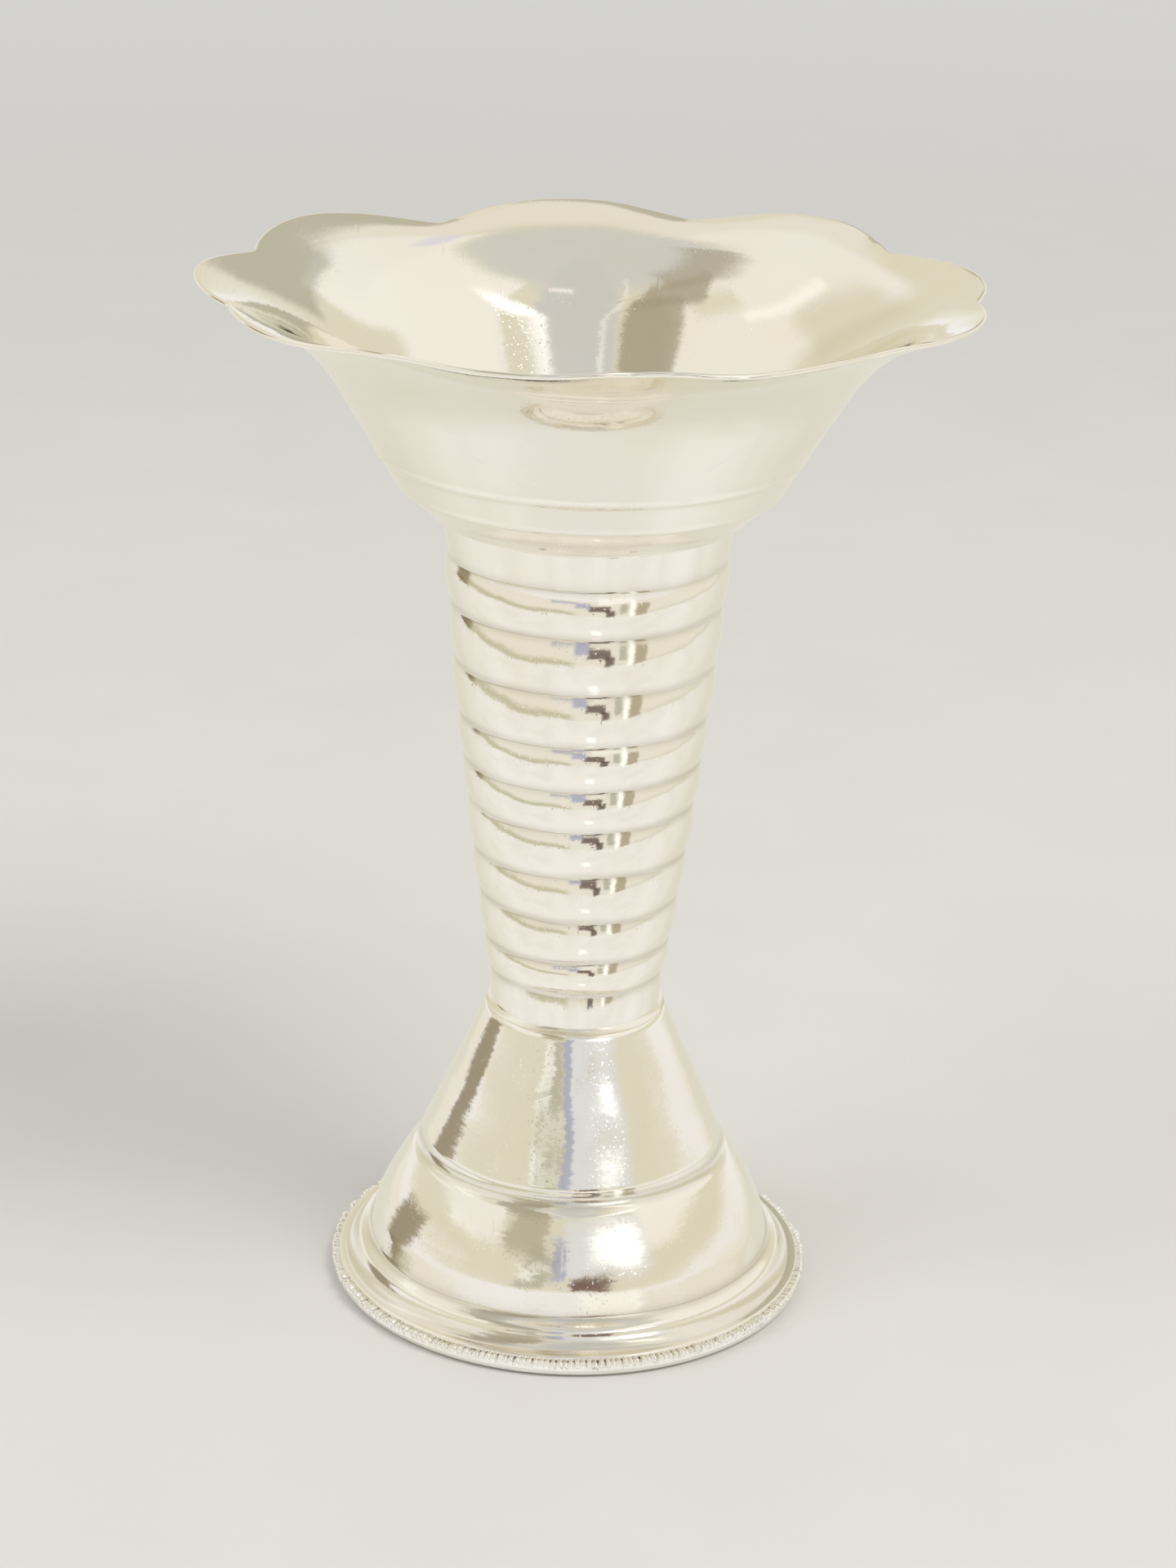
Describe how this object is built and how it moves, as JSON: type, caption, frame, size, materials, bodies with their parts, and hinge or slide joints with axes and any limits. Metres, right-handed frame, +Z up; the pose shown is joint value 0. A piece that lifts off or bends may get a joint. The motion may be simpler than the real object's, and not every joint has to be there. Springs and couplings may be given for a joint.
{
  "type": "flower vase",
  "caption": "Spun silver flower vase: wide flared bowl with a lobed rim on a ribbed tapering stem and a stepped round foot with a beaded edge.",
  "frame": {"origin": "centre of the face that the vase stands on, on the axis of the foot, at z = 0", "axes": "+Z up along the axis that the pieces are spun about; -Y towards the side that the picture shows, +X to its right"},
  "size_m": [0.0896, 0.0891, 0.125],
  "materials": {
    "polished_silver": "polished",
    "beaded_silver": "gloss",
    "silver_solder": "satin"
  },
  "bodies": {
    "root": {"foot": "polished_silver", "foot_edge_wire": "beaded_silver", "wire_solder": "silver_solder", "stem": "polished_silver", "stem_floor": "polished_silver", "stem_solder": "silver_solder", "floor_solder": "silver_solder", "bowl": "polished_silver", "bowl_solder": "silver_solder"}
  },
  "joints": []
}
